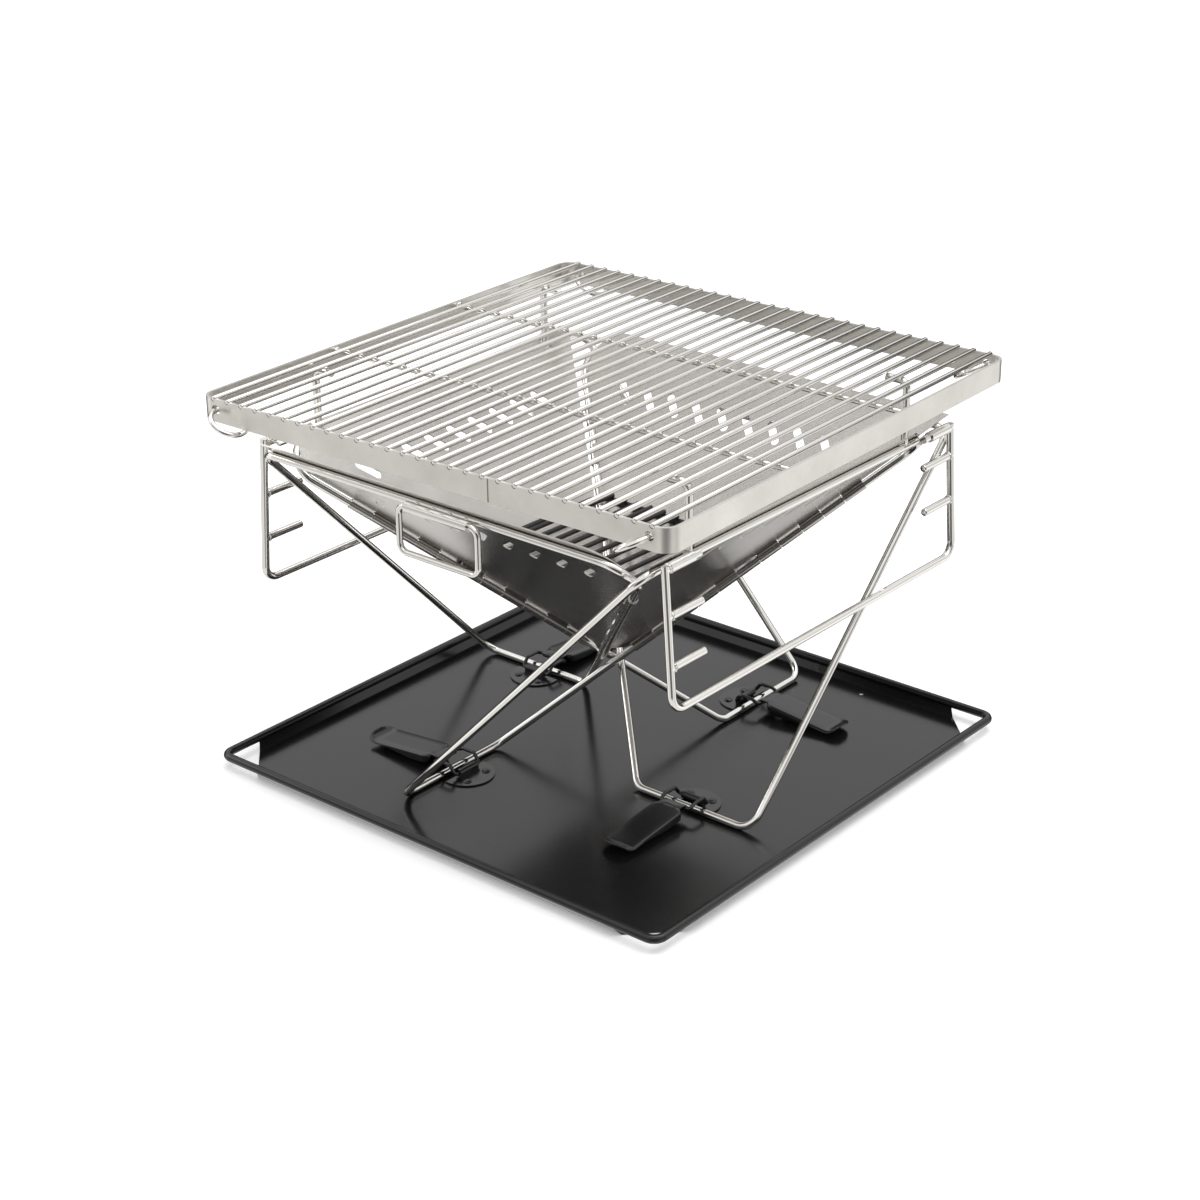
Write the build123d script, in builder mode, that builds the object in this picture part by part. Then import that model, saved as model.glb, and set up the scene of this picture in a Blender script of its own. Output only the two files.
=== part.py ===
from build123d import *
import math
import os

# Folding camp grill: a square steel tray, four bent wire frames that cross below the fire
# and carry four hinged sheet panels, a charcoal grate inside, and a cooking grate on top.
# Millimetres, +Z up, origin on the ground under the middle of the tray.
# Side names: front is -Y, right is +X, back is +Y, left is -X.

# ---- driving dimensions ----
TRAY_SIDE = 450.0  # outside the rolled rim
TRAY_SHEET = 1.0
RIM_Z = 10.0  # centre of the rolled rim
RIM_WIRE = 5.0
ROLL_DIAMETER = 7.0  # sheet rolled round the rim wire
CORNER_CUT = 39.0  # leg of the open triangle at each tray corner
LIP_RUN = 4.5  # how far the sloping lip leans out

FIRE_X = -12.0  # middle of the fire box on the tray
FIRE_Y = 12.0
WIRE = 6.0  # frame wire
TOP_HALF = 187.0  # half the square of top bars
TOP_Z = 259.0
FOOT_OUT = 58.0  # foot bar beyond the middle
FOOT_NEAR = 75.0  # foot bar ends, along the bar
FOOT_FAR = 186.0
CORNER_OUT = 5.0  # how far the free top corner passes the square
TOP_BEND = 14.0
HINGE_BEND = 22.0

PANEL_SHEET = 0.8
PANEL_BOTTOM_Z = 84.0
PANEL_RISE = 10.0  # panel edge above the top bar, along the slope
KNUCKLES = 11
KNUCKLE_GAP = 0.6

GRATE_SIDE = 438.0
GRATE_TOP_Z = 320.0
GRATE_STRIP = 2.5
GRATE_HEIGHT = 18.0
GRATE_ROD = 4.0
GRATE_RODS = 29
GRATE_CORNER = 12.0

GRATE_TURN = 1.6  # the loose grate sits slightly turned on its rests

BRACKET_HALF = 179.0
BRACKET_TILT = 4.0  # the hanging brackets lean out past the neighbouring frames
PIN_LENGTH = 38.0
BRACKET_PINS = {  # drops of the pins below the pivot on the -X leg and the +X leg, and the rail's
    "right": ([35.0, 73.0], [23.0, 59.0], 106.0),
    "left": ([32.0, 68.0], [44.0, 82.0], 119.0),
}

# ---- worked out from them ----
SIDES = ["front", "right", "back", "left"]
QUARTER = 90.0
FOOT_Z = TRAY_SHEET + WIRE / 2 + 0.1
SLOPE = math.atan2(TOP_Z - FOOT_Z, TOP_HALF + FOOT_OUT)
APEX_Z = FOOT_Z + FOOT_OUT * math.tan(SLOPE)
TOP_REACH = TOP_HALF / math.cos(SLOPE)  # apex to top bar, up the slope
FIT = 0.05  # running clearance of a wire in its sleeve
TOUCH = 0.05
LAP = 0.4  # how far welded pieces of one solid run into each other
BARREL = WIRE / 2 + FIT + PANEL_SHEET
SHEET_OFFSET = WIRE / 2 + FIT + PANEL_SHEET / 2  # panel sheet inside the wires' plane

up_slope = Vector(0, -math.cos(SLOPE), math.sin(SLOPE))
outward = Vector(0, -math.sin(SLOPE), -math.cos(SLOPE))
along = Vector(1, 0, 0)
apex = Vector(0, 0, APEX_Z)
hinge_top = Vector(TOP_HALF, -TOP_HALF, TOP_Z)
hinge_foot = Vector(-FOOT_NEAR, FOOT_OUT, FOOT_Z)
frame_plane = Plane(apex, x_dir=(1, 0, 0), z_dir=tuple(outward))


def rod_point(z, turns=0):
    """A point at height z on the hinge rod of the frame that is turns quarter turns round."""
    t = (TOP_Z - z) / (TOP_Z - FOOT_Z)
    return (hinge_top + (hinge_foot - hinge_top) * t).rotate(Axis.Z, QUARTER * turns)


def wire_loop(points, radii, diameter):
    """A closed bent wire through the points."""
    with BuildPart() as bent:
        with BuildLine() as path:
            FilletPolyline(*points, radius=radii, close=True)
        with BuildSketch(Plane(path.line @ 0, z_dir=path.line % 0)):
            Circle(diameter / 2)
        sweep(path=path.line)
    return bent.part


def wire_run(points, radii, diameter):
    """An open bent wire through the points."""
    with BuildPart() as bent:
        with BuildLine() as path:
            FilletPolyline(*points, radius=radii)
        with BuildSketch(Plane(path.line @ 0, z_dir=path.line % 0)):
            Circle(diameter / 2)
        sweep(path=path.line)
    return bent.part


def bar(start, end, diameter):
    """A straight round bar between two points."""
    start = Vector(start)
    run = Vector(end) - start
    with BuildPart() as straight:
        with BuildSketch(Plane(start, z_dir=run)):
            Circle(diameter / 2)
        extrude(amount=run.length)
    return straight.part


def tube(start, end, outside, inside):
    """A straight sleeve between two points."""
    start = Vector(start)
    run = Vector(end) - start
    with BuildPart() as sleeve:
        with BuildSketch(Plane(start, z_dir=run)):
            Circle(outside / 2)
            Circle(inside / 2, mode=Mode.SUBTRACT)
        extrude(amount=run.length)
    return sleeve.part


def write(shapes, name):
    """Label the piece and write it as its own file."""
    with BuildPart() as piece:
        for shape in shapes:
            add(shape)
    piece.part.label = name
    export_step(piece.part, f"parts/{name}.step")


def place(shape, turns):
    """The shape drawn on the front side, turned to its own side and moved over the tray."""
    with BuildPart() as placed:
        with Locations(Location((FIRE_X, FIRE_Y, 0), (0, 0, QUARTER * turns))):
            add(shape)
    return placed.part


os.makedirs("parts", exist_ok=True)

# ---- tray: floor, four sloping lips with a rolled edge, corners cut open ----
RIM_HALF = TRAY_SIDE / 2 - ROLL_DIAMETER / 2
FLOOR_HALF = RIM_HALF - LIP_RUN
CUT_SUM = 2 * RIM_HALF - CORNER_CUT
RIM_BEND = 16.0
RIVET = 3.2
RIVET_X = 11.0
RIVET_BACK = 21.0  # rivets inward of the foot bar
LATCH_X = 122.0  # latch middle along the foot bar
VENT = 4.0
VENT_X = 104.0
VENT_INSET = 12.0

rivet_spots = [
    Vector(-LATCH_X + side * RIVET_X, FOOT_OUT - RIVET_BACK, 0).rotate(Axis.Z, QUARTER * turns)
    + Vector(FIRE_X, FIRE_Y, 0)
    for turns in range(4)
    for side in (-1, 1)
]

with BuildPart() as tray_pan:
    with BuildSketch():
        Rectangle(2 * FLOOR_HALF, 2 * FLOOR_HALF)
    extrude(amount=TRAY_SHEET)
    for turns in range(4):
        side_plane = Plane.XZ.rotated((0, 0, QUARTER * turns))
        with BuildSketch(side_plane.offset(-RIM_HALF)) as lip:
            with BuildLine():
                Polyline(
                    (FLOOR_HALF - LAP, 0),
                    (FLOOR_HALF, 0),
                    (RIM_HALF + ROLL_DIAMETER / 8, RIM_Z - ROLL_DIAMETER / 2 + LAP),
                    (RIM_HALF - ROLL_DIAMETER / 8, RIM_Z - ROLL_DIAMETER / 2 + LAP),
                    (FLOOR_HALF - LAP, TRAY_SHEET),
                    close=True,
                )
            make_face()
            with Locations((RIM_HALF, RIM_Z)):
                Circle(ROLL_DIAMETER / 2)
        extrude(amount=2 * RIM_HALF)
    with BuildSketch() as corners:
        Rectangle(3 * RIM_HALF, 3 * RIM_HALF)
        Rectangle(CUT_SUM * math.sqrt(2), CUT_SUM * math.sqrt(2), rotation=45, mode=Mode.SUBTRACT)
    extrude(amount=3 * RIM_Z, mode=Mode.SUBTRACT)
    for turns in range(4):
        side_plane = Plane.XZ.rotated((0, 0, QUARTER * turns))
        with BuildSketch(side_plane.offset(-RIM_HALF)):
            with Locations((RIM_HALF, RIM_Z)):
                Circle(RIM_WIRE / 2 + FIT)
        extrude(amount=2 * RIM_HALF, mode=Mode.SUBTRACT)
    with Locations(*rivet_spots):
        Hole(RIVET / 2 + FIT)
    with Locations((VENT_X, FLOOR_HALF - VENT_INSET, 0)):
        Hole(VENT / 2)
write([tray_pan.part], "tray_pan")

with BuildPart() as rim_wire:
    with BuildLine() as rim_path:
        with Locations((0, 0, RIM_Z)):
            FilletPolyline(
                (-RIM_HALF, -RIM_HALF, RIM_Z),
                (RIM_HALF, -RIM_HALF, RIM_Z),
                (RIM_HALF, RIM_HALF, RIM_Z),
                (-RIM_HALF, RIM_HALF, RIM_Z),
                radius=RIM_BEND,
                close=True,
            )
    with BuildSketch(Plane(rim_path.line @ 0, z_dir=rim_path.line % 0)):
        Circle(RIM_WIRE / 2)
    sweep(path=rim_path.line)
write([rim_wire.part], "tray_rim_wire")

# ---- latches: a riveted base, a wire bail over the foot bar, and a lever on its end ----
BASE_SHEET = 1.2
BASE_RADIUS = 22.0
LATCH_WIRE = 3.0
LATCH_BARREL = 6.0
BARREL_BACK = 11.0  # base barrel inward of the foot bar
BARREL_Z = 5.6
BARREL_LENGTH = 20.0
BAIL_HALF = 14.0
BAIL_TOP_Z = 12.5
BAIL_BEND = 2.5
LEVER_OUT = 12.0  # lever pivot outward of the foot bar
LEVER_Z = 10.0
LEVER_ROOT = 20.0  # narrow part between the bail's arms
LEVER_WIDTH = 28.0
LEVER_NECK = 9.0
LEVER_LENGTH = 76.0
LEVER_TIP_Z = 6.0
TIP_TURN = 7.0
RIVET_HEAD = 6.4
RIVET_HEAD_HEIGHT = 1.4
FLANGE = 3.5
FLANGE_RUN = 34.0
base_top = TRAY_SHEET + TOUCH + BASE_SHEET
base_bottom = TRAY_SHEET + TOUCH
latch_zero = Vector(-LATCH_X, FOOT_OUT, 0)  # on the foot bar's middle line


def latch_point(u, v, z):
    """A point u along the foot bar, v outward from it and z above the ground."""
    return latch_zero + Vector(u, v, z)


with BuildPart() as latch_base:
    with BuildSketch(Plane.XY.offset(base_bottom)):
        with Locations(latch_point(0, -BARREL_BACK, 0)):
            Circle(BASE_RADIUS)
        with Locations(latch_point(0, BASE_RADIUS - BARREL_BACK + LATCH_BARREL / 2, 0)):
            Rectangle(3 * BASE_RADIUS, 2 * BASE_RADIUS, mode=Mode.SUBTRACT)
    extrude(amount=BASE_SHEET)
    with BuildSketch(Plane.YZ.offset(latch_zero.X - BARREL_LENGTH / 2)):
        with Locations((FOOT_OUT - BARREL_BACK, BARREL_Z)):
            Circle(LATCH_BARREL / 2)
        with Locations((FOOT_OUT - BARREL_BACK - LATCH_BARREL / 4, (BARREL_Z + base_bottom) / 2)):
            Rectangle(LATCH_BARREL / 2, BARREL_Z - base_bottom)
        with Locations((FOOT_OUT - BARREL_BACK, BARREL_Z)):
            Circle(LATCH_WIRE / 2 + FIT, mode=Mode.SUBTRACT)
    extrude(amount=BARREL_LENGTH)
    with Locations(latch_point(-RIVET_X, -RIVET_BACK, 0), latch_point(RIVET_X, -RIVET_BACK, 0)):
        Hole(RIVET / 2 + FIT)

bail_profile = [
    (-BARREL_BACK, BARREL_Z),
    (-BARREL_BACK / 2, BAIL_TOP_Z),
    (LEVER_OUT / 2, BAIL_TOP_Z),
    (LEVER_OUT, LEVER_Z),
]
bail_points = [latch_point(-BAIL_HALF, v, z) for v, z in bail_profile]
bail_points += [latch_point(BAIL_HALF, v, z) for v, z in reversed(bail_profile)]
latch_bail = wire_loop(bail_points, BAIL_BEND, LATCH_WIRE)

with BuildPart() as latch_lever:
    blade_z = LEVER_Z + LATCH_BARREL / 2 - BASE_SHEET / 2
    with BuildSketch(Plane.YZ.offset(latch_zero.X - LEVER_WIDTH / 2)):
        with BuildLine() as blade:
            Polyline(
                (FOOT_OUT + LEVER_OUT, blade_z),
                (FOOT_OUT + LEVER_OUT + LEVER_NECK, blade_z),
                (FOOT_OUT + LEVER_OUT + LEVER_LENGTH - TIP_TURN, LEVER_TIP_Z),
                (FOOT_OUT + LEVER_OUT + LEVER_LENGTH, LEVER_TIP_Z + TIP_TURN / 3),
            )
            offset(amount=BASE_SHEET / 2, side=Side.BOTH)
        make_face()
    extrude(amount=LEVER_WIDTH)
    with BuildSketch():
        with Locations(latch_point(0, LEVER_OUT + LEVER_LENGTH / 2, 0)):
            RectangleRounded(LEVER_WIDTH, LEVER_LENGTH, LEVER_WIDTH / 4)
        with Locations(latch_point(0, LEVER_OUT, 0)):
            Rectangle(LEVER_WIDTH, LEVER_LENGTH)
    extrude(amount=3 * LEVER_Z, mode=Mode.INTERSECT)
    with BuildSketch(Plane.YZ.offset(latch_zero.X - LEVER_WIDTH / 2)):
        with BuildLine():
            Polyline(
                (FOOT_OUT + LEVER_OUT + LEVER_NECK, blade_z),
                (FOOT_OUT + LEVER_OUT + LEVER_NECK + FLANGE_RUN, blade_z - FLANGE_RUN / 9),
                (FOOT_OUT + LEVER_OUT + LEVER_NECK + FLANGE, blade_z - FLANGE - 1),
                (FOOT_OUT + LEVER_OUT + LEVER_NECK, blade_z - FLANGE),
                close=True,
            )
        make_face()
    extrude(amount=BASE_SHEET)
    with BuildSketch(Plane.YZ.offset(latch_zero.X + LEVER_WIDTH / 2 - BASE_SHEET)):
        with BuildLine():
            Polyline(
                (FOOT_OUT + LEVER_OUT + LEVER_NECK, blade_z),
                (FOOT_OUT + LEVER_OUT + LEVER_NECK + FLANGE_RUN, blade_z - FLANGE_RUN / 9),
                (FOOT_OUT + LEVER_OUT + LEVER_NECK + FLANGE, blade_z - FLANGE - 1),
                (FOOT_OUT + LEVER_OUT + LEVER_NECK, blade_z - FLANGE),
                close=True,
            )
        make_face()
    extrude(amount=BASE_SHEET)
    for side in (-1, 1):
        with Locations(latch_point(side * LEVER_WIDTH / 2, LEVER_OUT, blade_z)):
            Box(LEVER_WIDTH - LEVER_ROOT, 2 * LEVER_NECK - 1, 2 * LATCH_BARREL, mode=Mode.SUBTRACT)
    add(
        bar(
            latch_point(-LEVER_ROOT / 2, LEVER_OUT, LEVER_Z),
            latch_point(LEVER_ROOT / 2, LEVER_OUT, LEVER_Z),
            LATCH_BARREL,
        )
    )
    with BuildSketch(Plane.YZ.offset(latch_zero.X - LEVER_WIDTH / 2)):
        with Locations((FOOT_OUT + LEVER_OUT, LEVER_Z)):
            Circle(LATCH_WIRE / 2 + FIT)
    extrude(amount=LEVER_WIDTH, mode=Mode.SUBTRACT)

with BuildPart() as rivet:
    with BuildSketch(Plane.XY.offset(TOUCH)):
        Circle(RIVET / 2)
    extrude(amount=base_top)
    with BuildSketch(Plane.XY.offset(base_top + TOUCH)) as head:
        Circle(RIVET_HEAD / 2)
    extrude(amount=RIVET_HEAD_HEIGHT, taper=30)

for turns, side in enumerate(SIDES):
    write([place(latch_base.part, turns)], f"latch_base_{side}")
    write([place(latch_bail, turns)], f"latch_bail_{side}")
    write([place(latch_lever.part, turns)], f"latch_lever_{side}")
with BuildPart() as latch_rivets:
    with Locations(*rivet_spots):
        add(rivet.part)
write([latch_rivets.part], "latch_rivets")

# ---- wire frames: top bar, free leg, foot bar, and the hinge rod back to the top ----
free_top = Vector(-TOP_HALF - CORNER_OUT, -TOP_HALF, TOP_Z)
foot_end = Vector(-FOOT_FAR, FOOT_OUT, FOOT_Z)
frame_wire = wire_loop(
    [free_top, hinge_top, hinge_foot, foot_end],
    [TOP_BEND, HINGE_BEND, TOP_BEND, TOP_BEND],
    WIRE,
)

# ---- panels: a sheet inside each frame, rolled round its own rod and its neighbour's ----
SETBACK = 6.0
OPEN_SETBACK = 17.0  # at the top of the one corner that is left open
CORNER_ROUND = 28.0
VENTS = 9
VENT_PITCH = 26.0
VENT_LONG = 24.0
VENT_WIDE = 7.0
VENT_SLANT = 50.0
VENT_MIDDLE = 6.0
VENT_DROP = 43.0  # vent row below the top bar, down the slope
RISE_Z = TOP_Z + PANEL_RISE * math.sin(SLOPE)
ROD_TOP_Z = TOP_Z - 2 * HINGE_BEND
knuckle_z = (ROD_TOP_Z - PANEL_BOTTOM_Z) / KNUCKLES


def sheet_edge(turns, inset_top, inset_low):
    """The two ends of a sheet edge beside a rod, moved in along the panel by the insets."""
    low = rod_point(PANEL_BOTTOM_Z, turns) - outward * SHEET_OFFSET + along * inset_low
    top = rod_point(RISE_Z, turns) - outward * SHEET_OFFSET + along * inset_top
    return low, top


def knuckle(turns, index, inward_side):
    """One rolled knuckle on a rod, with the tab that joins it to the sheet."""
    low = rod_point(PANEL_BOTTOM_Z + index * knuckle_z + KNUCKLE_GAP / 2, turns)
    high = rod_point(PANEL_BOTTOM_Z + (index + 1) * knuckle_z - KNUCKLE_GAP / 2, turns)
    run = high - low
    tab_plane = Plane(low, x_dir=tuple(run), z_dir=tuple(run.cross(outward)))
    reach = SETBACK * inward_side
    with BuildPart() as rolled:
        add(tube(low, high, 2 * BARREL, WIRE + 2 * FIT))
        with BuildSketch(tab_plane):
            with Locations((run.length / 2, -SHEET_OFFSET)):
                Rectangle(run.length, PANEL_SHEET)
        extrude(amount=reach)
    return rolled.part


def panel(left_open, post_notches):
    """The front panel. left_open leaves its free edge without knuckles."""
    inset = OPEN_SETBACK if left_open else SETBACK
    edges = [sheet_edge(3, inset, SETBACK), sheet_edge(0, -SETBACK, -SETBACK)]
    with BuildPart() as sheet:
        for low, top in edges:
            run = top - low
            with BuildSketch(Plane((low + top) / 2, x_dir=tuple(run), z_dir=tuple(run.cross(outward)))):
                Rectangle(run.length, PANEL_SHEET)
        loft(ruled=True)
        top_reach = TOP_REACH + PANEL_RISE
        hem_half = TOP_HALF - SETBACK
        with BuildSketch(frame_plane.offset(-SHEET_OFFSET - PANEL_SHEET / 2)):
            with Locations((inset - SETBACK, top_reach - PANEL_RISE / 4)):
                Rectangle(2 * hem_half - 2 * (inset - SETBACK), PANEL_RISE / 2)
        extrude(amount=PANEL_SHEET + LAP)
        # the top corner over the hinge rod is rounded off
        rod_lean = math.atan2(TOP_HALF + FOOT_NEAR, TOP_REACH + FOOT_OUT / math.cos(SLOPE))
        side_x = TOP_HALF - SETBACK + PANEL_RISE * math.tan(rod_lean)
        corner = Vector(side_x, top_reach + LAP)
        half_angle = (math.pi / 2 - rod_lean) / 2
        tangent = CORNER_ROUND / math.tan(half_angle)
        down = Vector(-math.sin(rod_lean), -math.cos(rod_lean))
        with BuildSketch(frame_plane.offset(-2 * WIRE)):
            with BuildLine():
                Polyline(
                    corner + Vector(-tangent, 0),
                    corner + Vector(0, WIRE),
                    corner + Vector(2 * WIRE, 0),
                    corner + down * tangent,
                    close=True,
                )
            make_face()
            with Locations(corner + Vector(-tangent, -CORNER_ROUND)):
                Circle(CORNER_ROUND, mode=Mode.SUBTRACT)
        extrude(amount=4 * WIRE, mode=Mode.SUBTRACT)
        with BuildSketch(frame_plane.offset(-WIRE)):
            with Locations((VENT_MIDDLE, TOP_REACH - VENT_DROP)):
                with GridLocations(VENT_PITCH, 1, VENTS, 1):
                    SlotOverall(VENT_LONG, VENT_WIDE, rotation=VENT_SLANT)
        extrude(amount=3 * WIRE, mode=Mode.SUBTRACT)
        for index in range(KNUCKLES):
            if index % 2 == 0:
                add(knuckle(0, index, -1))
            elif not left_open:
                add(knuckle(3, index, 1))
        for x in post_notches:
            with Locations((x, -TOP_HALF, TOP_Z + WIRE)):
                Box(WIRE + 2, 5 * WIRE, 2 * WIRE + 2, mode=Mode.SUBTRACT)
    return sheet.part


# ---- height brackets: a wire U with stub pins, hung in two sleeves on the top bar ----
SLEEVE = 8.4
SLEEVE_LENGTH = 26.0
SLEEVE_END = 175.0
BRACKET_OUT = 197.2
BRACKET_Z = 264.0
BRACKET_BEND = 12.0
pivot = Vector(0, -BRACKET_OUT, BRACKET_Z)


def bracket(near_pins, far_pins, rail_drop):
    """A bracket hanging straight down from the origin."""
    with BuildPart() as hung:
        add(
            wire_run(
                [
                    (-BRACKET_HALF, 0, WIRE / 2),
                    (-BRACKET_HALF, 0, -rail_drop),
                    (BRACKET_HALF, 0, -rail_drop),
                    (BRACKET_HALF, 0, WIRE / 2),
                ],
                BRACKET_BEND,
                WIRE,
            )
        )
        for side, drops in ((-1, near_pins), (1, far_pins)):
            for drop in [0.0] + drops:
                root = (side * (BRACKET_HALF + 1), 0, -drop)
                end = (side * (BRACKET_HALF - PIN_LENGTH), 0, -drop)
                add(bar(root, end, WIRE))
    return hung.part


LUG = 2.4
LUG_LENGTH = 16.0
lug_run = pivot - Vector(0, -TOP_HALF, TOP_Z)
lug_reach = lug_run.length - WIRE / 2 - TOUCH
sleeves = []
for side in (-1, 1):
    middle = Vector(side * (SLEEVE_END - SLEEVE_LENGTH / 2), pivot.Y, pivot.Z)
    lug_plane = Plane(middle, x_dir=(1, 0, 0), z_dir=tuple(lug_run * -1))
    with BuildPart() as sleeve:
        add(tube(middle - along * SLEEVE_LENGTH / 2, middle + along * SLEEVE_LENGTH / 2, SLEEVE, WIRE))
        with BuildSketch(lug_plane.offset(WIRE / 2)):
            Rectangle(LUG_LENGTH, LUG)
        extrude(amount=lug_reach - WIRE / 2)
        with BuildSketch(Plane(middle - along * SLEEVE_LENGTH, z_dir=(1, 0, 0))):
            Circle(WIRE / 2 + FIT)
        extrude(amount=2 * SLEEVE_LENGTH, mode=Mode.SUBTRACT)
    sleeves.append(sleeve.part)

# ---- grate rests: posts on the top bar with a turned end under the grate rods ----
POST_X = [-140.0, 130.0]
POST_TURN = 18.0
ROD_Z = GRATE_TOP_Z - GRATE_ROD / 2
post_top = ROD_Z - GRATE_ROD / 2 - WIRE / 2 - 0.3
posts = [
    wire_run(
        [
            (x, -TOP_HALF, TOP_Z + WIRE / 2 + TOUCH),
            (x, -TOP_HALF, post_top),
            (x, -TOP_HALF + POST_TURN, post_top),
        ],
        WIRE,
        WIRE,
    )
    for x in POST_X
]

# ---- carrying handles: a wire bail in a sleeve beside the top bar ----
HANDLE_WIRE = 5.0
HANDLE_SLEEVE = 8.6
HANDLE_SLEEVE_LENGTH = 62.0
HANDLE_HALF = 39.0
HANDLE_DROP = 37.0
HANDLE_BEND = 7.0
HANDLE_LOW = 1.5
handle_y = -TOP_HALF - WIRE / 2 - HANDLE_SLEEVE / 2 - TOUCH
handle_z = TOP_Z - HANDLE_LOW
handle_sleeve = tube(
    (-HANDLE_SLEEVE_LENGTH / 2, handle_y, handle_z),
    (HANDLE_SLEEVE_LENGTH / 2, handle_y, handle_z),
    HANDLE_SLEEVE,
    HANDLE_WIRE + 2 * FIT,
)
handle = wire_loop(
    [
        (-HANDLE_HALF, handle_y, handle_z),
        (HANDLE_HALF, handle_y, handle_z),
        (HANDLE_HALF, handle_y, handle_z - HANDLE_DROP),
        (-HANDLE_HALF, handle_y, handle_z - HANDLE_DROP),
    ],
    HANDLE_BEND,
    HANDLE_WIRE,
)

for turns, side in enumerate(SIDES):
    on_bracket_side = side in ("right", "left")
    write([place(frame_wire, turns)], f"frame_wire_{side}")
    write([place(panel(side == "left", POST_X if on_bracket_side else []), turns)], f"panel_{side}")
    if on_bracket_side:
        with BuildPart() as leaned:
            with Locations(Location(tuple(pivot), (-BRACKET_TILT, 0, 0))):
                add(bracket(*BRACKET_PINS[side]))
        write([place(leaned.part, turns)], f"bracket_{side}")
        write([place(sleeve, turns) for sleeve in sleeves], f"bracket_sleeves_{side}")
        write([place(post, turns) for post in posts], f"grate_rests_{side}")
    else:
        write([place(handle_sleeve, turns)], f"handle_sleeve_{side}")
        write([place(handle, turns)], f"handle_{side}")

# ---- charcoal grate: a square wire with bars, resting on the sloping panels ----
COAL_HALF = 84.0
COAL_Z = 165.0
COAL_WIRE = 5.0
COAL_BAR = 4.0
COAL_BARS = 11
COAL_BEND = 12.0
COAL_TWIST = -1.9  # the panels twist a little, and the square follows them
coal_seat = Location((FIRE_X, FIRE_Y, COAL_Z), (0, 0, COAL_TWIST))
coal_square = wire_loop(
    [
        (-COAL_HALF, -COAL_HALF, 0),
        (COAL_HALF, -COAL_HALF, 0),
        (COAL_HALF, COAL_HALF, 0),
        (-COAL_HALF, COAL_HALF, 0),
    ],
    COAL_BEND,
    COAL_WIRE,
)
bar_lift = COAL_WIRE / 2 + COAL_BAR / 2 + TOUCH
with BuildPart() as coal_frame:
    with Locations(coal_seat):
        add(coal_square)
with BuildPart() as coal_bars:
    with Locations(coal_seat):
        for index in range(COAL_BARS):
            x = (index - (COAL_BARS - 1) / 2) * 2 * COAL_HALF / (COAL_BARS + 1)
            add(bar((x, -COAL_HALF, bar_lift), (x, COAL_HALF, bar_lift), COAL_BAR))
write([coal_frame.part], "charcoal_grate_frame")
write([coal_bars.part], "charcoal_grate_bars")

# ---- cooking grate: a strip frame, long rods in its notches, and two cross rods ----
GRATE_HALF = GRATE_SIDE / 2
RING_HOLE_X = 202.0
RING_HOLE_Z = 309.5
RING_HOLE = 8.0
RING_MEAN = 14.0
RING_WIRE = 4.0
RING_SWING = 60.0  # how far each ring has swung aside from hanging
CROSS_Y = 73.0
rod_pitch = GRATE_SIDE / (GRATE_RODS + 1)
rod_x = [(index - (GRATE_RODS - 1) / 2) * rod_pitch for index in range(GRATE_RODS)]
strip_low = ROD_Z - GRATE_HEIGHT


def turned(shape):
    """The grate's piece, turned a little about the middle."""
    with BuildPart() as loose:
        with Locations(Location((0, 0, 0), (0, 0, GRATE_TURN))):
            add(shape)
    return loose.part


with BuildPart() as grate_frame:
    with BuildSketch(Plane.XY.offset(strip_low)):
        RectangleRounded(GRATE_SIDE, GRATE_SIDE, GRATE_CORNER)
        inside = GRATE_SIDE - 2 * GRATE_STRIP
        RectangleRounded(inside, inside, GRATE_CORNER - GRATE_STRIP, mode=Mode.SUBTRACT)
    extrude(amount=GRATE_HEIGHT)
    with BuildSketch(Plane.XZ.offset(-GRATE_SIDE)):
        with Locations(*[(x, ROD_Z) for x in rod_x]):
            Circle(GRATE_ROD / 2 + FIT)
        with Locations((-RING_HOLE_X, RING_HOLE_Z), (RING_HOLE_X, RING_HOLE_Z)):
            Circle(RING_HOLE / 2)
    extrude(amount=2 * GRATE_SIDE, mode=Mode.SUBTRACT)
write([turned(grate_frame.part)], "grate_frame")

with BuildPart() as grate_rods:
    for x in rod_x:
        add(bar((x, -GRATE_HALF, ROD_Z), (x, GRATE_HALF, ROD_Z), GRATE_ROD))
write([turned(grate_rods.part)], "grate_rods")

cross_z = ROD_Z - GRATE_ROD - TOUCH
cross_half = GRATE_HALF - GRATE_STRIP - TOUCH
with BuildPart() as grate_cross_rods:
    for y in (-CROSS_Y, CROSS_Y):
        add(bar((-cross_half, y, cross_z), (cross_half, y, cross_z), GRATE_ROD))
write([turned(grate_cross_rods.part)], "grate_cross_rods")

for y_side, depth in ((-1, "front"), (1, "back")):
    for x_side, hand in ((-1, "left"), (1, "right")):
        hole = Vector(x_side * RING_HOLE_X, y_side * (GRATE_HALF - GRATE_STRIP / 2), RING_HOLE_Z)
        swing = math.radians(RING_SWING)
        hang = Vector(-x_side * math.sin(swing), 0, -math.cos(swing))
        ring_plane = Plane(hole + hang * RING_MEAN, x_dir=(0, 1, 0), z_dir=tuple(Vector(0, 1, 0).cross(hang)))
        with BuildPart() as ring:
            with Locations(ring_plane.location):
                Torus(RING_MEAN, RING_WIRE / 2)
        write([turned(ring.part)], f"grate_ring_{depth}_{hand}")
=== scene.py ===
import math
import random

import bmesh
import bpy
from mathutils import Matrix, Vector


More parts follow.
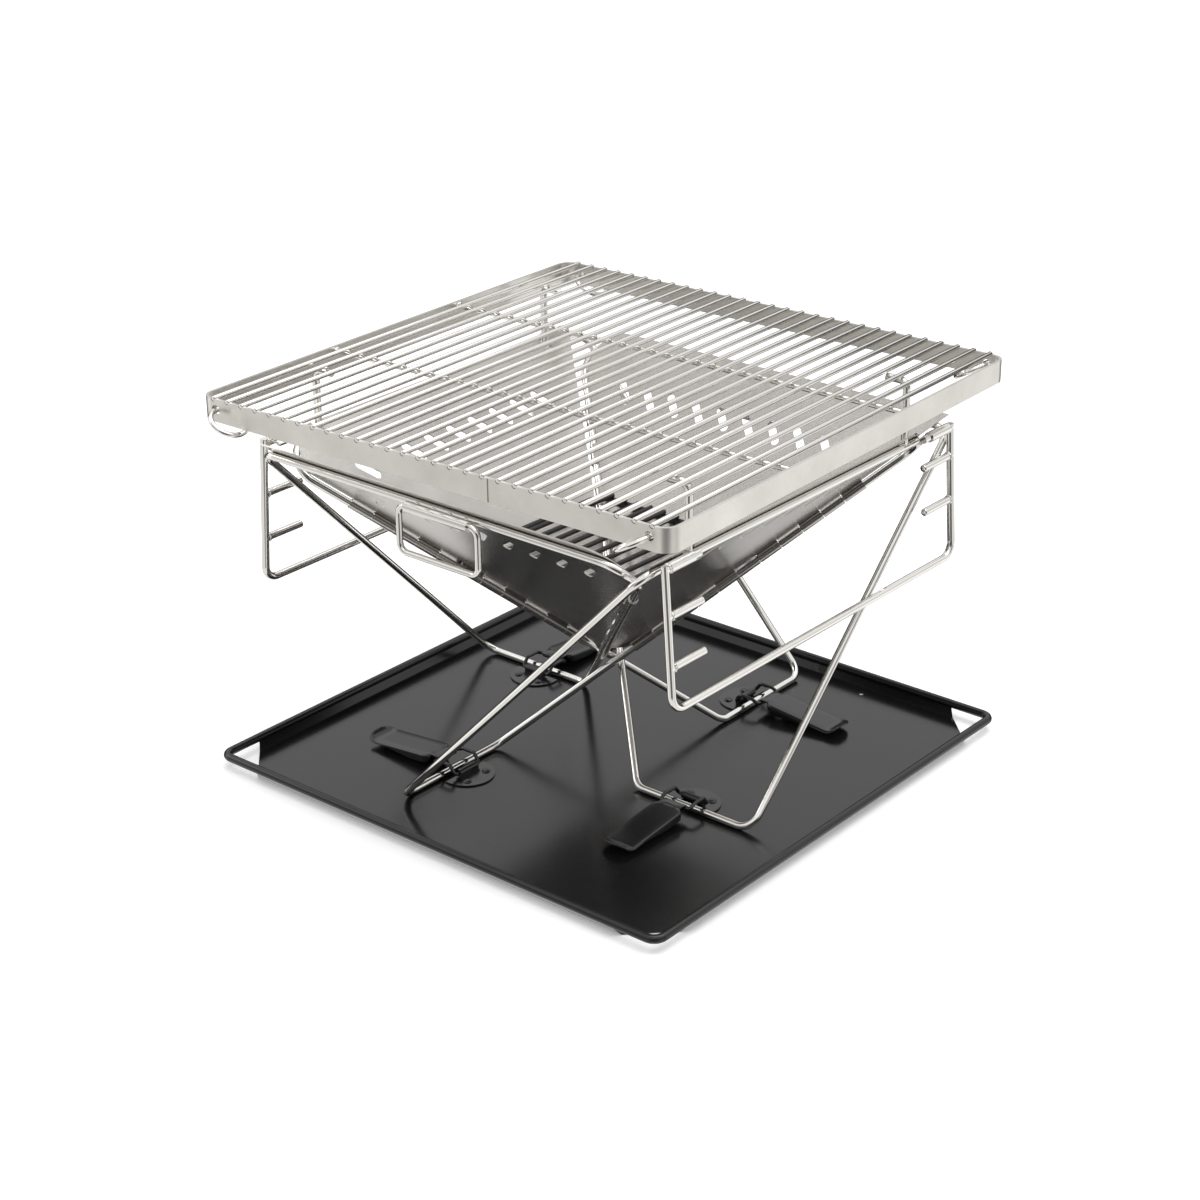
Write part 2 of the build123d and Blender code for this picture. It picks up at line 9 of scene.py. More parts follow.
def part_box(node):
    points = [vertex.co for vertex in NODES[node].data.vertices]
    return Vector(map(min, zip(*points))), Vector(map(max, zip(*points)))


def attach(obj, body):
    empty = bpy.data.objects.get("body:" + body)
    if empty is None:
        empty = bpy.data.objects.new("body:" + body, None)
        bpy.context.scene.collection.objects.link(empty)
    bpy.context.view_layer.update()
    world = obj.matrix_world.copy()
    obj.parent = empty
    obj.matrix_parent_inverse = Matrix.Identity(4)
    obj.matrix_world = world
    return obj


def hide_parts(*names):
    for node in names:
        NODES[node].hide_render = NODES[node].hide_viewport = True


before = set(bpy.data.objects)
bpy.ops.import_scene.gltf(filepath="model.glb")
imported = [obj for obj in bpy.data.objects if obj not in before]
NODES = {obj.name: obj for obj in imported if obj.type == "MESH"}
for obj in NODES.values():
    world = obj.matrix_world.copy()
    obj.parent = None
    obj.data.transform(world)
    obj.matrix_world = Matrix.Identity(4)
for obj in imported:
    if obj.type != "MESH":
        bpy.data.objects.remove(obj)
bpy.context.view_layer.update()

SIDES = ("front", "right", "back", "left")


# ---------------------------------------------------------------- node helpers
class Nodes:
    """Builds one material's node tree."""

    def __init__(self, name):
        self.material = bpy.data.materials.new(name)
        self.material.use_nodes = True
        self.tree = self.material.node_tree
        self.shader = self.tree.nodes["Principled BSDF"]
        self.coords = self.tree.nodes.new("ShaderNodeTexCoord").outputs["Object"]

    def add(self, kind):
        return self.tree.nodes.new("ShaderNode" + kind)

    def link(self, source, target):
        self.tree.links.new(source, target)

    def set(self, socket, value):
        self.shader.inputs[socket].default_value = value

    def stretched(self, scale):
        node = self.add("Mapping")
        node.inputs["Scale"].default_value = scale
        self.link(self.coords, node.inputs["Vector"])
        return node.outputs["Vector"]

    def noise(self, scale, detail=3.0, roughness=0.5, vector=None):
        node = self.add("TexNoise")
        node.inputs["Scale"].default_value = scale
        node.inputs["Detail"].default_value = detail
        node.inputs["Roughness"].default_value = roughness
        self.link(vector or self.coords, node.inputs["Vector"])
        return node.outputs["Fac"]

    def ramp(self, source, stops):
        node = self.add("ValToRGB")
        ramp = node.color_ramp
        while len(ramp.elements) < len(stops):
            ramp.elements.new(0.5)
        for element, (position, colour) in zip(ramp.elements, stops):
            element.position = position
            if not hasattr(colour, "__len__"):
                colour = (colour, colour, colour)
            element.color = (*colour[:3], 1.0)
        self.link(source, node.inputs["Fac"])
        return node.outputs["Color"]

    def bump(self, height, strength, distance, under=None):
        node = self.add("Bump")
        node.inputs["Strength"].default_value = strength
        node.inputs["Distance"].default_value = distance
        self.link(height, node.inputs["Height"])
        if under:
            self.link(under, node.inputs["Normal"])
        return node.outputs["Normal"]


def scaled(tone, factor):
    return tuple(c * factor for c in tone)


# Noise below the first place is all dark, above the second all light.
NOISE_LOW = 0.3
NOISE_HIGH = 0.7


def polished(name, tone, low, high):
    """Bright stainless with faint handling haze; low and high bound its roughness."""
    m = Nodes(name)
    haze = m.noise(9.0, 4.0, 0.6)
    fine = m.noise(1.0, 3.0, 0.6, m.stretched((60.0, 60.0, 60.0)))
    m.link(m.ramp(haze, [(NOISE_LOW, scaled(tone, 0.93)), (NOISE_HIGH, tone)]), m.shader.inputs["Base Color"])
    m.link(m.ramp(fine, [(NOISE_LOW, low), (0.75, high)]), m.shader.inputs["Roughness"])
    m.link(m.bump(fine, 0.08, 0.0004), m.shader.inputs["Normal"])
    m.set("Metallic", 1.0)
    return m.material


def mirror_sheet(name, dark, light):
    """Mirror-polished sheet: long soft waves and hair-line polish marks."""
    m = Nodes(name)
    wave = m.noise(5.0, 1.0, 0.4)
    hair = m.noise(1.0, 4.0, 0.7, m.stretched((30.0, 30.0, 700.0)))
    smudge = m.noise(14.0, 5.0, 0.65)
    m.link(m.ramp(smudge, [(0.35, dark), (NOISE_HIGH, light)]), m.shader.inputs["Base Color"])
    m.link(m.ramp(smudge, [(NOISE_LOW, 0.20), (0.75, 0.28)]), m.shader.inputs["Roughness"])
    low = m.bump(wave, 0.25, 0.004)
    m.link(m.bump(hair, 0.04, 0.0004, low), m.shader.inputs["Normal"])
    m.set("Metallic", 1.0)
    return m.material


def satin_strip(name, dark, light):
    """Tumbled satin stainless of the grate's band."""
    m = Nodes(name)
    cloud = m.noise(22.0, 6.0, 0.65)
    grain = m.noise(1.0, 5.0, 0.75, m.stretched((420.0, 420.0, 1300.0)))
    m.link(m.ramp(cloud, [(NOISE_LOW, dark), (NOISE_HIGH, light)]), m.shader.inputs["Base Color"])
    m.link(m.ramp(grain, [(NOISE_LOW, 0.26), (NOISE_HIGH, 0.38)]), m.shader.inputs["Roughness"])
    m.link(m.bump(grain, 0.12, 0.0003), m.shader.inputs["Normal"])
    m.set("Metallic", 1.0)
    return m.material


def enamel(name, tone, low, high, grain_scale, strength):
    """Black baked coating with a fine orange-peel grain; low and high bound its roughness."""
    m = Nodes(name)
    grain = m.noise(grain_scale, 4.0, 0.6)
    cloud = m.noise(6.0, 4.0, 0.6)
    m.link(m.ramp(cloud, [(NOISE_LOW, tone), (NOISE_HIGH, scaled(tone, 1.5))]), m.shader.inputs["Base Color"])
    m.link(m.ramp(cloud, [(NOISE_LOW, low), (NOISE_HIGH, high)]), m.shader.inputs["Roughness"])
    m.link(m.bump(grain, strength, 0.0004), m.shader.inputs["Normal"])
    return m.material


WIRE = polished("wire_polish", (0.85, 0.835, 0.805), 0.08, 0.16)
ROD = polished("rod_polish", (0.80, 0.785, 0.755), 0.10, 0.18)
MIRROR = mirror_sheet("panel_mirror", (0.54, 0.52, 0.495), (0.62, 0.60, 0.575))
STRIP = satin_strip("strip_satin", (0.66, 0.645, 0.605), (0.78, 0.765, 0.73))
BLACK = (0.006, 0.006, 0.0065)
TRAY = enamel("tray_enamel", BLACK, 0.17, 0.22, 900.0, 0.05)
RIM = enamel("rim_enamel", BLACK, 0.20, 0.28, 700.0, 0.06)
LATCH = enamel("latch_enamel", BLACK, 0.18, 0.26, 800.0, 0.05)
LATCH.node_tree.nodes["Principled BSDF"].inputs["IOR"].default_value = 1.62
SEAM = satin_strip("seam_dull", (0.22, 0.21, 0.19), (0.34, 0.32, 0.30))
COAL = enamel("coal_grate_black", (0.014, 0.013, 0.013), 0.45, 0.6, 500.0, 0.2)

for name, node in NODES.items():
    if name == "tray_pan":
        look = TRAY
    elif name == "tray_rim_wire":
        look = RIM
    elif name.startswith("latch"):
        look = LATCH
    elif name.startswith("charcoal"):
        look = COAL
    elif name == "grate_frame":
        look = STRIP
    elif name in ("grate_rods", "grate_cross_rods"):
        look = ROD
    elif name.startswith("panel"):
        look = MIRROR
    else:
        look = WIRE
    node.data.materials.clear()
    node.data.materials.append(look)

# ---------------------------------------------------------------- mesh helpers
MM = 0.001


def make_piece(name, shape, body, look, replaces, crease):
    """A mesh piece in millimetres that rides on a body and takes a slot's finish.

    Edges bent by more than crease degrees stay sharp.
    """
    verts, faces = shape
    mesh = bpy.data.meshes.new(name)
    mesh.from_pydata([tuple(c * MM for c in v) for v in verts], [], faces)
    tidy = bmesh.new()
    tidy.from_mesh(mesh)
    bmesh.ops.recalc_face_normals(tidy, faces=tidy.faces)
    tidy.to_mesh(mesh)
    tidy.free()
    mesh.shade_smooth()
    mesh.set_sharp_from_angle(angle=math.radians(crease))
    mesh.materials.append(look)
    obj = bpy.data.objects.new(name, mesh)
    bpy.context.scene.collection.objects.link(obj)
    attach(obj, body)
    if replaces:
        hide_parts(*replaces)
    return obj


def join(parts):
    """Several (verts, faces) lists as one."""
    verts, faces = [], []
    for more_verts, more_faces in parts:
        base = len(verts)
        verts += more_verts
        faces += [tuple(base + i for i in face) for face in more_faces]
    return verts, faces


def across(direction):
    """Two unit vectors square to a direction and to each other."""
    helper = Vector((0, 0, 1)) if abs(direction.z) < 0.9 else Vector((1, 0, 0))
    side = direction.cross(helper).normalized()
    return side, side.cross(direction).normalized()


def tube_faces(rings, segments):
    """The quads between rings of points that follow one another."""
    faces = []
    for row in range(rings - 1):
        for index in range(segments):
            a = row * segments + index
            b = row * segments + (index + 1) % segments
            faces.append((a, b, b + segments, a + segments))
    return faces


def close_end(verts, faces, row, segments, tip):
    """A fan from one ring of points to a tip."""
    verts.append(tip)
    for index in range(segments):
        a = row * segments + index
        b = row * segments + (index + 1) % segments
        faces.append((a, b, len(verts) - 1))


def lathe(start, direction, profile, segments):
    """A solid of revolution: profile is (distance along, radius), both ends closed by a point."""
    start, direction = Vector(start), Vector(direction).normalized()
    side, up = across(direction)
    verts = []
    for along, radius in profile:
        for index in range(segments):
            angle = 2 * math.pi * index / segments
            verts.append(start + direction * along + (side * math.cos(angle) + up * math.sin(angle)) * radius)
    faces = tube_faces(len(profile), segments)
    for row, along in ((0, profile[0][0]), (len(profile) - 1, profile[-1][0])):
        close_end(verts, faces, row, segments, start + direction * along)
    return verts, faces


def rounded_rod(start, end, radius, edge):
    """A straight rod whose two ends have a rounded edge."""
    run = Vector(end) - Vector(start)
    steps = [math.radians(a) for a in (0, 30, 60, 90)]
    cap = [(edge - edge * math.cos(a), radius - edge + edge * math.sin(a)) for a in steps]
    profile = cap + [(run.length - along, r) for along, r in reversed(cap)]
    return lathe(start, run, profile, 20)


def swept(points, radius, segments):
    """A round tube along points, closed flat at its ends."""
    points = [Vector(p) for p in points]
    verts = []
    side, up = across(points[1] - points[0])
    last = len(points) - 1
    for index, point in enumerate(points):
        ahead = points[min(index + 1, last)] - points[max(index - 1, 0)]
        ahead.normalize()
        side = (side - ahead * side.dot(ahead)).normalized()
        up = side.cross(ahead)
        for turn in range(segments):
            angle = 2 * math.pi * turn / segments
            verts.append(point + (side * math.cos(angle) + up * math.sin(angle)) * radius)
    faces = tube_faces(len(points), segments)
    for row, tip in ((0, points[0]), (last, points[-1])):
        close_end(verts, faces, row, segments, tip)
    return verts, faces


BEAD_LUMPS = 7
BEAD_STRETCH = 1.25  # how much longer a bead is along its wire than it is thick


def weld_bead(centre, axis, reach, bulk, chance):
    """A lumpy ring of weld metal round an axis."""
    centre, axis = Vector(centre), Vector(axis).normalized()
    side, up = across(axis)
    rings, tube_steps = 28, 8
    phase = chance.uniform(0, 2 * math.pi)
    verts, faces = [], []
    for ring in range(rings):
        angle = 2 * math.pi * ring / rings
        coarse = 0.28 * math.sin(BEAD_LUMPS * angle + phase)
        slow = 0.14 * math.sin(3 * angle + 2 * phase)
        swell = bulk * (1 + coarse + slow)
        out = side * math.cos(angle) + up * math.sin(angle)
        for step in range(tube_steps):
            turn = 2 * math.pi * step / tube_steps
            lift = axis * swell * BEAD_STRETCH * math.sin(turn)
            verts.append(centre + out * (reach + swell * math.cos(turn)) + lift)
    for ring in range(rings):
        for step in range(tube_steps):
            a = ring * tube_steps + step
            b = ring * tube_steps + (step + 1) % tube_steps
            c = ((ring + 1) % rings) * tube_steps + (step + 1) % tube_steps
            d = ((ring + 1) % rings) * tube_steps + step
            faces.append((a, b, c, d))
    return verts, faces


def nugget(centre, sizes, axis, chance):
    """A small flattened blob of weld metal: sizes are its radius and its half height along the axis."""
    ring_angles = [math.radians(a) for a in (-75, -45, -15, 15, 45, 75)]
    profile = [(sizes[1] * math.sin(a), sizes[0] * math.cos(a)) for a in ring_angles]
    verts, faces = lathe(centre, axis, profile, 12)
    middle = Vector(centre)
    return [middle + (v - middle) * chance.uniform(0.9, 1.1) for v in verts], faces


def quarter_turns(turns):
    return Matrix.Rotation(math.radians(90 * turns), 4, "Z")


def side_frame(turns):
    """The frame of one side of the fire box: drawn for the front, turned over the tray."""
    return Matrix.Translation((FIRE_X, FIRE_Y, 0)) @ quarter_turns(turns)


def moved(shape, matrix):
    verts, faces = shape
    return [matrix @ Vector(v) for v in verts], faces


def centre_mm(node):
    low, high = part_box(node)
    return (Vector(low) + Vector(high)) / (2 * MM)


# The fire box's middle is the middle of the four foot latches' bails.
bail_centres = [centre_mm(f"latch_bail_{side}") for side in SIDES]
FIRE_X = sum(c.x for c in bail_centres) / 4
FIRE_Y = sum(c.y for c in bail_centres) / 4
chance = random.Random(7)

# ---------------------------------------------------------------- tray edge
RIM_RADIUS = 9.0  # bend of the rolled rim at the corners
RIM_REACH = 50.0  # how far each corner piece runs into the rolled edge
RIM_INSET = 0.07  # keeps the piece just inside the tray's own roll
RIM_STEPS = 12
rim_low, rim_high = (Vector(c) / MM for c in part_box("tray_rim_wire"))
rim_z = (rim_low.z + rim_high.z) / 2
rim_half = rim_high.x - (rim_high.z - rim_low.z) / 2
roll_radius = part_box("tray_pan")[1][0] / MM - rim_half - RIM_INSET
corners = []
for turns in range(4):
    route = [(rim_half - RIM_REACH, -rim_half, rim_z)]
    middle = rim_half - RIM_RADIUS
    for step in range(RIM_STEPS + 1):
        angle = math.radians(-90 + 90 * step / RIM_STEPS)
        route.append((middle + RIM_RADIUS * math.cos(angle), -middle + RIM_RADIUS * math.sin(angle), rim_z))
    route.append((rim_half, -rim_half + RIM_REACH, rim_z))
    corners.append(moved(swept(route, roll_radius, 24), quarter_turns(turns)))
make_piece("rolled_corners", join(corners), "tray", RIM, ["tray_rim_wire"], 60)

# ---------------------------------------------------------------- latches
# A lever is drawn with v running outward from the foot bar.
LEVER_ROOT_V = 19.0
LEVER_TIP_V = 88.0
LEVER_HALF = 14.0
LEVER_TOP = 12.5
LEVER_FALL = 0.098  # how much its top drops for each millimetre outward
LEVER_SHEET = 1.1
LEVER_ROWS = 46
CURL_START = 77.0
CURL_RISE = 0.034
SHOULDER = 5.0  # length over which the root widens to the full plate
SHOULDER_IN = 3.5
FLANGE_DEEP = 6.4
FLANGE_LEAST = 1.6
FLANGE_END = 80.0
FLANGE_TAPER = 42.0
SIDE_BEND = 1.6  # radius of the bend down each side
ROLL_V = 12.0
ROLL_Z = 10.0
ROLL_MID = 2.5
ROLL_HALF = 10.0
RIVET_X = 11.0
RIVET_V = -21.0
RIVET_HIGH = 1.4


def lever_top(v):
    return LEVER_TOP - LEVER_FALL * (v - LEVER_ROOT_V) + CURL_RISE * max(0.0, v - CURL_START) ** 2


def lever_half(v):
    if v < LEVER_ROOT_V + SHOULDER:
        return LEVER_HALF - SHOULDER_IN * (1 - (v - LEVER_ROOT_V) / SHOULDER) ** 2
    past = max(0.0, v - CURL_START + 1) / (LEVER_TIP_V - CURL_START + 1.6)
    return LEVER_HALF * math.sqrt(max(0.0, 1 - past ** 4))


def lever_flange(v):
    deep = FLANGE_DEEP * min(1.0, (v - LEVER_ROOT_V + 3) / 6)
    return max(FLANGE_LEAST, deep * min(1.0, max(0.0, (FLANGE_END - v) / FLANGE_TAPER)))


def grid_faces(rows, columns):
    return [
        (r * columns + c, r * columns + c + 1, (r + 1) * columns + c + 1, (r + 1) * columns + c)
        for r in range(rows - 1)
        for c in range(columns - 1)
    ]


def pressed_lever():
    """A pressed plate with turned-down sides and a curled tongue, rolled round its pivot at the root."""
    reach = LEVER_TIP_V - LEVER_ROOT_V
    stations = [LEVER_ROOT_V + reach * (i / LEVER_ROWS) ** 0.92 for i in range(LEVER_ROWS + 1)]
    verts = []
    for v in stations:
        w = lever_half(v)
        top = lever_top(v)
        drop = lever_flange(v)
        bend = min(SIDE_BEND, w * 0.4)
        half = [(0.0, 0.0), (w * 0.5, -0.05)]
        half += [
            (w - bend + bend * math.sin(a), -bend + bend * math.cos(a))
            for a in (math.radians(d) for d in (0, 22, 45, 68, 90))
        ]
        half.append((w + 0.2, -max(drop, bend + 0.2)))
        row = [(-x, v, top + z) for x, z in reversed(half)] + [(x, v, top + z) for x, z in half[1:]]
        verts += row
    plate = (verts, grid_faces(len(stations), len(row)))
    arc = [math.radians(a) for a in range(-120, -276, -12)]
    roll = [(ROLL_V + ROLL_MID * math.cos(a), ROLL_Z + ROLL_MID * math.sin(a)) for a in arc]
    roll += [(LEVER_ROOT_V - 2, LEVER_TOP + 0.05), (LEVER_ROOT_V + 1.5, lever_top(LEVER_ROOT_V + 1.5) - 0.02)]
    widths = [-ROLL_HALF, -ROLL_HALF / 2, 0, ROLL_HALF / 2, ROLL_HALF]
    barrel = ([(x, v, z) for v, z in roll for x in widths], grid_faces(len(roll), len(widths)))
    return join([plate, barrel])


def domed_rivet(x, y, floor_z):
    profile = [(0, 1.6), (0, 3.3), (0.35, 3.35), (0.8, 3.0), (1.2, 2.3), (1.45, 1.2), (1.5, 0.4)]
    return lathe((x, y, floor_z), (0, 0, 1), profile, 24)


rivet_heads = []
for turns, side in enumerate(SIDES):
    middle = bail_centres[turns]
    outward = quarter_turns(turns)
    seat = Matrix.Translation(Vector((middle.x, middle.y, 0)) - outward @ Vector((0, 0.5, 0))) @ outward
    lever = make_piece(
        f"pressed_lever_{side}", moved(pressed_lever(), seat), f"latch_lever_{side}", LATCH,
        [f"latch_lever_{side}"], 50,
    )
    skin = lever.modifiers.new("sheet", "SOLIDIFY")
    skin.thickness = LEVER_SHEET * MM
    skin.offset = -1.0
    skin.use_even_offset = True
    edge = lever.modifiers.new("edge", "BEVEL")
    edge.width = 0.28 * MM
    edge.segments = 2
    edge.limit_method = "ANGLE"
    edge.angle_limit = math.radians(55)
    base_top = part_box("latch_rivets")[1][2] / MM - RIVET_HIGH
    for x in (-RIVET_X, RIVET_X):
        rivet_heads.append(moved(domed_rivet(x, RIVET_V, base_top), seat))
make_piece("domed_rivets", join(rivet_heads), "tray", LATCH, ["latch_rivets"], 40)

# ---------------------------------------------------------------- cooking grate
GRATE_TURN = Matrix.Rotation(math.radians(1.6), 4, "Z")
GRATE_HALF = 219.0
ROD_RADIUS = 2.0
RODS = 29
CROSS_Y = 73.0
rod_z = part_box("grate_rods")[1][2] / MM - ROD_RADIUS
cross_z = centre_mm("grate_cross_rods").z
rod_pitch = 2 * GRATE_HALF / (RODS + 1)
rod_places = [(index - (RODS - 1) / 2) * rod_pitch for index in range(RODS)]
rods = [
    rounded_rod((x, -GRATE_HALF + 0.1, rod_z), (x, GRATE_HALF - 0.1, rod_z), ROD_RADIUS, 0.9)
    for x in rod_places
]
make_piece(
    "rounded_rods", moved(join(rods), GRATE_TURN), "cooking_grate", ROD, ["grate_rods"], 60,
)
welds = []
cross = GRATE_HALF - 2.6
for y in (-CROSS_Y, CROSS_Y):
    welds.append(rounded_rod((-cross, y, cross_z), (cross, y, cross_z), ROD_RADIUS, 0.5))
    for x in rod_places:
        spot = (x + chance.uniform(-0.2, 0.2), y + chance.uniform(-0.3, 0.3), (rod_z + cross_z) / 2)
        welds.append(nugget(spot, (1.9, 0.9), (0, 0, 1), chance))
    for end in (-1, 1):
        welds.append(weld_bead((end * (cross - 0.2), y, cross_z), (1, 0, 0), ROD_RADIUS + 0.3, 0.8, chance))
make_piece(
    "welded_cross_rods", moved(join(welds), GRATE_TURN), "cooking_grate", ROD,
    ["grate_cross_rods"], 60,
)
# The band is closed by one upright weld on the front and one on the back.
SEAM_X = 64.0
SEAM_STEPS = 23
SEAM_MARGIN = 0.8
strip_low, strip_high = (c[2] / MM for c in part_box("grate_frame"))
seams = []
for y_side in (-1, 1):
    x = SEAM_X * y_side
    for step in range(SEAM_STEPS + 1):
        z = strip_low + SEAM_MARGIN + (strip_high - strip_low - 2 * SEAM_MARGIN) * step / SEAM_STEPS
        wander = 0.12 * math.sin(step * 1.9)
        seams.append(nugget((-x + wander, y_side * GRATE_HALF, z), (0.62, 0.28), (0, 1, 0), chance))
make_piece("band_seam", moved(join(seams), GRATE_TURN), "cooking_grate", SEAM, (), 60)

# ---------------------------------------------------------------- welds on the wires
TOP_HALF = 187.0
TOP_Z = 259.0
BRACKET_HALF = 179.0
BRACKET_TILT = math.radians(-4.0)
# How far below the pivot each leg's pins sit: the leg at -x, then the leg at +x, in the side's own frame.
BRACKET_PINS = {"right": ((35.0, 73.0), (23.0, 59.0)), "left": ((32.0, 68.0), (44.0, 82.0))}
PIN_LENGTH = 38.0
PIN_DOME = [(-0.05, 2.98), (0.5, 2.75), (0.9, 2.2), (1.1, 1.4), (1.15, 0.5)]
PIVOT = Vector((0, -197.2, 264.0))
WIRE_RADIUS = 3.0
POST_XS = (-140.0, 130.0)
LUG_XS = (-162.0, 162.0)
SLEEVE_WELD_XS = (-24.0, -8.0, 8.0, 24.0)
for turns, side in enumerate(SIDES):
    frame_at = side_frame(turns)
    if side in BRACKET_PINS:
        beads = []
        for leg, drops in zip((-1, 1), BRACKET_PINS[side]):
            for drop in (0.0, *drops):
                root = Vector((leg * (BRACKET_HALF - WIRE_RADIUS - 0.2), 0, -drop))
                beads.append(weld_bead(root, (1, 0, 0), WIRE_RADIUS - 0.1, 0.85, chance))
                if drop:
                    tip = Vector((leg * (BRACKET_HALF - PIN_LENGTH), 0, -drop))
                    beads.append(lathe(tip, (-leg, 0, 0), PIN_DOME, 24))
        hang = frame_at @ Matrix.Translation(PIVOT) @ Matrix.Rotation(BRACKET_TILT, 4, "X")
        make_piece(
            f"pin_welds_{side}", moved(join(beads), hang), f"bracket_{side}", WIRE, (), 60,
        )
        beads = []
        for x in POST_XS:
            root = (x, -TOP_HALF, TOP_Z + WIRE_RADIUS)
            beads.append(weld_bead(root, (0, 0, 1), WIRE_RADIUS - 0.2, 0.8, chance))
        for x in LUG_XS:
            lug = Vector((x, -TOP_HALF, TOP_Z)).lerp(Vector((x, PIVOT.y, PIVOT.z)), 0.30)
            for end in (-8, 8):
                beads.append(nugget(lug + Vector((end, 0, 0.6)), (1.7, 1.1), (1, 0, 0), chance))
        make_piece(
            f"post_welds_{side}", moved(join(beads), frame_at), f"side_{side}", WIRE,
            (), 60,
        )
    else:
        beads = []
        sleeve_z = centre_mm(f"handle_sleeve_{side}").z
        for x in SLEEVE_WELD_XS:
            spot = (x, -TOP_HALF - WIRE_RADIUS, (sleeve_z + TOP_Z) / 2 + 1.6)
            beads.append(nugget(spot, (1.5, 2.4), (1, 0, 0), chance))
        make_piece(
            f"sleeve_welds_{side}", moved(join(beads), frame_at), f"side_{side}", WIRE,
            (), 60,
        )

# ---------------------------------------------------------------- stage
FLOOR_HALF = 6.0
FLOOR_DROP = 0.0004
FLOOR_GLOW = 0.22  # lifts the paper to the white of a studio sweep
floor_mesh = bpy.data.meshes.new("floor")
floor_corners = [(x * FLOOR_HALF, y * FLOOR_HALF, 0) for x, y in ((-1, -1), (1, -1), (1, 1), (-1, 1))]
floor_mesh.from_pydata(floor_corners, [], [(0, 1, 2, 3)])
floor = bpy.data.objects.new("floor", floor_mesh)
floor.location.z = -FLOOR_DROP
bpy.context.scene.collection.objects.link(floor)
paper = Nodes("floor_paper")
paper.set("Roughness", 0.9)
paper.set("Emission Color", (1, 1, 1, 1))
paper.set("Emission Strength", FLOOR_GLOW)
paper.set("Specular IOR Level", 0.1)
tint = paper.noise(3.0)
paper.link(paper.ramp(tint, [(0.2, 0.93), (0.8, 0.95)]), paper.shader.inputs["Base Color"])
floor_mesh.materials.append(paper.material)
floor.visible_glossy = False  # the metal mirrors the world below instead


def area_light(name, place, target, size, power):
    data = bpy.data.lights.new(name, "AREA")
    data.shape = "RECTANGLE"
    data.size, data.size_y = size
    data.energy = power
    lamp = bpy.data.objects.new(name, data)
    lamp.location = place
    lamp.rotation_euler = (Vector(target) - Vector(place)).to_track_quat("-Z", "Y").to_euler()
    bpy.context.scene.collection.objects.link(lamp)


area_light("top_box", (0.3, 0.5, 2.4), (0, 0, 0), (2.2, 2.2), 30)
area_light("left_box", (-2.2, -0.9, 1.2), (0, 0, 0.15), (1.2, 1.4), 8)

# The studio that the metal mirrors. White above; below the horizon it changes round the object, from dark
# behind it, over a bright side on the left and right, to dark again under the camera, so that wires show a
# bright core between dark lines. Straight down it is bright again.
world = bpy.data.worlds.new("studio")
bpy.context.scene.world = world
world.use_nodes = True
tree = world.node_tree
background = tree.nodes["Background"]
coords = tree.nodes.new("ShaderNodeTexCoord")


def world_math(operation, a, b):
    node = tree.nodes.new("ShaderNodeMath")
    node.operation = operation
    for socket, value in zip(node.inputs, (a, b)):
        if isinstance(value, (int, float)):
            socket.default_value = value
        else:
            tree.links.new(value, socket)
    return node.outputs["Value"]


def facing(direction):
    node = tree.nodes.new("ShaderNodeVectorMath")
    node.operation = "DOT_PRODUCT"
    tree.links.new(coords.outputs["Generated"], node.inputs[0])
    node.inputs[1].default_value = direction
    return node.outputs["Value"]


def world_mix(factor, first, second):
    node = tree.nodes.new("ShaderNodeMix")
    node.data_type = "RGBA"
    for socket, value in (("Factor", factor), ("A", first), ("B", second)):
        if isinstance(value, tuple):
            node.inputs[socket].default_value = value
        else:
            tree.links.new(value, node.inputs[socket])
    return node.outputs["Result"]


def world_ramp(source, stops):
    node = tree.nodes.new("ShaderNodeValToRGB")
    ramp = node.color_ramp
    while len(ramp.elements) < len(stops):
        ramp.elements.new(0.5)
    for element, (position, level) in zip(ramp.elements, stops):
        element.position = position
        element.color = (level, level * 0.99, level * 0.97, 1)
    tree.links.new(source, node.inputs["Fac"])
    return node.outputs["Color"]


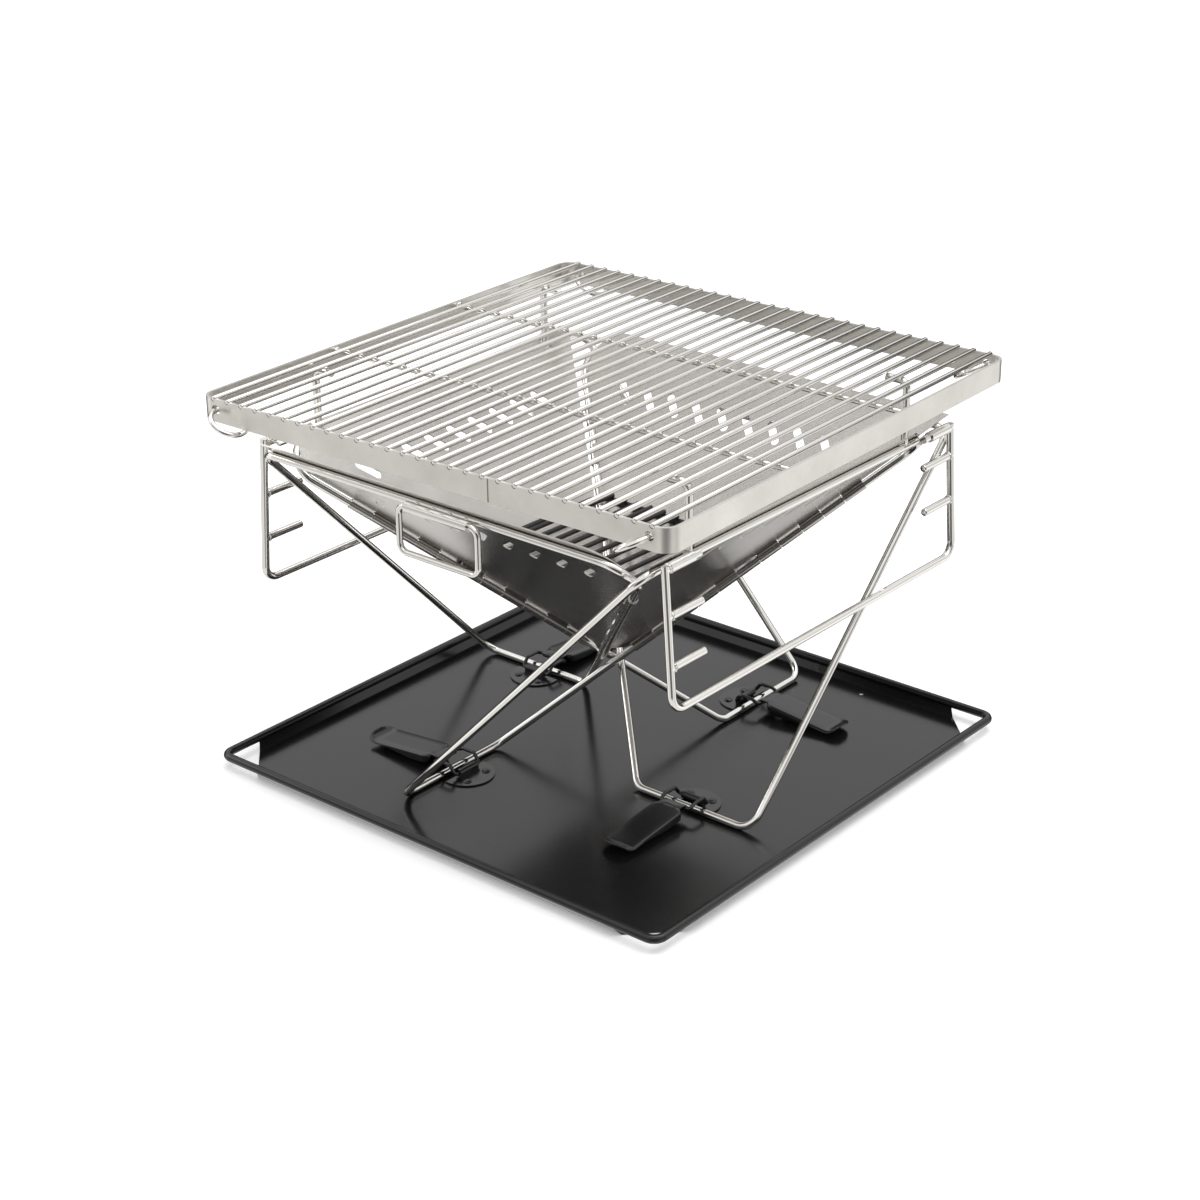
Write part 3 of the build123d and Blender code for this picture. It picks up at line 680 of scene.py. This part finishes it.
# Stops are (place, brightness). Place runs from 0, away from the camera, to 1, toward it.
HORIZON_STOPS = [
    (0.0, 0.04), (0.26, 0.05), (0.36, 0.75), (0.50, 0.90), (0.66, 0.25),
    (0.80, 0.40), (0.90, 0.50), (0.96, 0.10), (1.0, 0.06),
]
TABLE_STOPS = [
    (0.0, 0.035), (0.20, 0.05), (0.29, 1.2), (0.45, 1.15), (0.60, 0.62),
    (0.78, 0.85), (0.88, 0.95), (0.945, 0.16), (1.0, 0.06),
]
WHITE = (1.0, 1.0, 1.0, 1.0)
GROUND = (0.9, 0.89, 0.87, 1.0)
toward_camera = world_math("MULTIPLY_ADD", facing((0.64, -0.77, 0.0)), 0.5)
toward_camera.node.inputs[2].default_value = 0.5
height = facing((0, 0, 1))
below = world_ramp(world_math("MULTIPLY", height, -5.0), [(0.0, 0.0), (0.6, 1.0)])
low = world_mix(below, world_ramp(toward_camera, HORIZON_STOPS), world_ramp(toward_camera, TABLE_STOPS))
downward = world_math("MULTIPLY", height, -1.0)
steep = world_ramp(downward, [(0.0, 0.0), (0.47, 0.0), (0.60, 1.0), (1.0, 1.0)])
ground = world_mix(steep, low, GROUND)
lifted = world_math("SUBTRACT", height, world_math("MULTIPLY", toward_camera, 0.2))
upward = world_ramp(lifted, [(0.0, 0.0), (0.22, 0.0), (0.36, 1.0), (1.0, 1.0)])
room = world_mix(upward, ground, WHITE)
seen = tree.nodes.new("ShaderNodeLightPath").outputs["Is Camera Ray"]
tree.links.new(world_mix(seen, room, WHITE), background.inputs["Color"])
background.inputs["Strength"].default_value = 1.0

# ---------------------------------------------------------------- camera
CAMERA_AT = Vector((1.1346, -1.3715, 0.9337))
AZIMUTH = math.radians(39.898)
ELEVATION = math.radians(24.278)
ROLL = math.radians(-0.452)
forward = Vector((
    -math.sin(AZIMUTH) * math.cos(ELEVATION),
    math.cos(AZIMUTH) * math.cos(ELEVATION),
    -math.sin(ELEVATION),
))
level = forward.cross(Vector((0, 0, 1))).normalized()
upright = level.cross(forward)
right = level * math.cos(ROLL) + upright * math.sin(ROLL)
up = upright * math.cos(ROLL) - level * math.sin(ROLL)
camera_data = bpy.data.cameras.new("camera")
camera_data.sensor_width = 36.0
camera_data.lens = 74.0
camera_data.clip_end = 50.0
camera = bpy.data.objects.new("camera", camera_data)
camera.matrix_world = Matrix((
    (right.x, up.x, -forward.x, CAMERA_AT.x),
    (right.y, up.y, -forward.y, CAMERA_AT.y),
    (right.z, up.z, -forward.z, CAMERA_AT.z),
    (0, 0, 0, 1),
))
bpy.context.scene.collection.objects.link(camera)
bpy.context.scene.camera = camera
bpy.context.scene.view_settings.view_transform = "Standard"
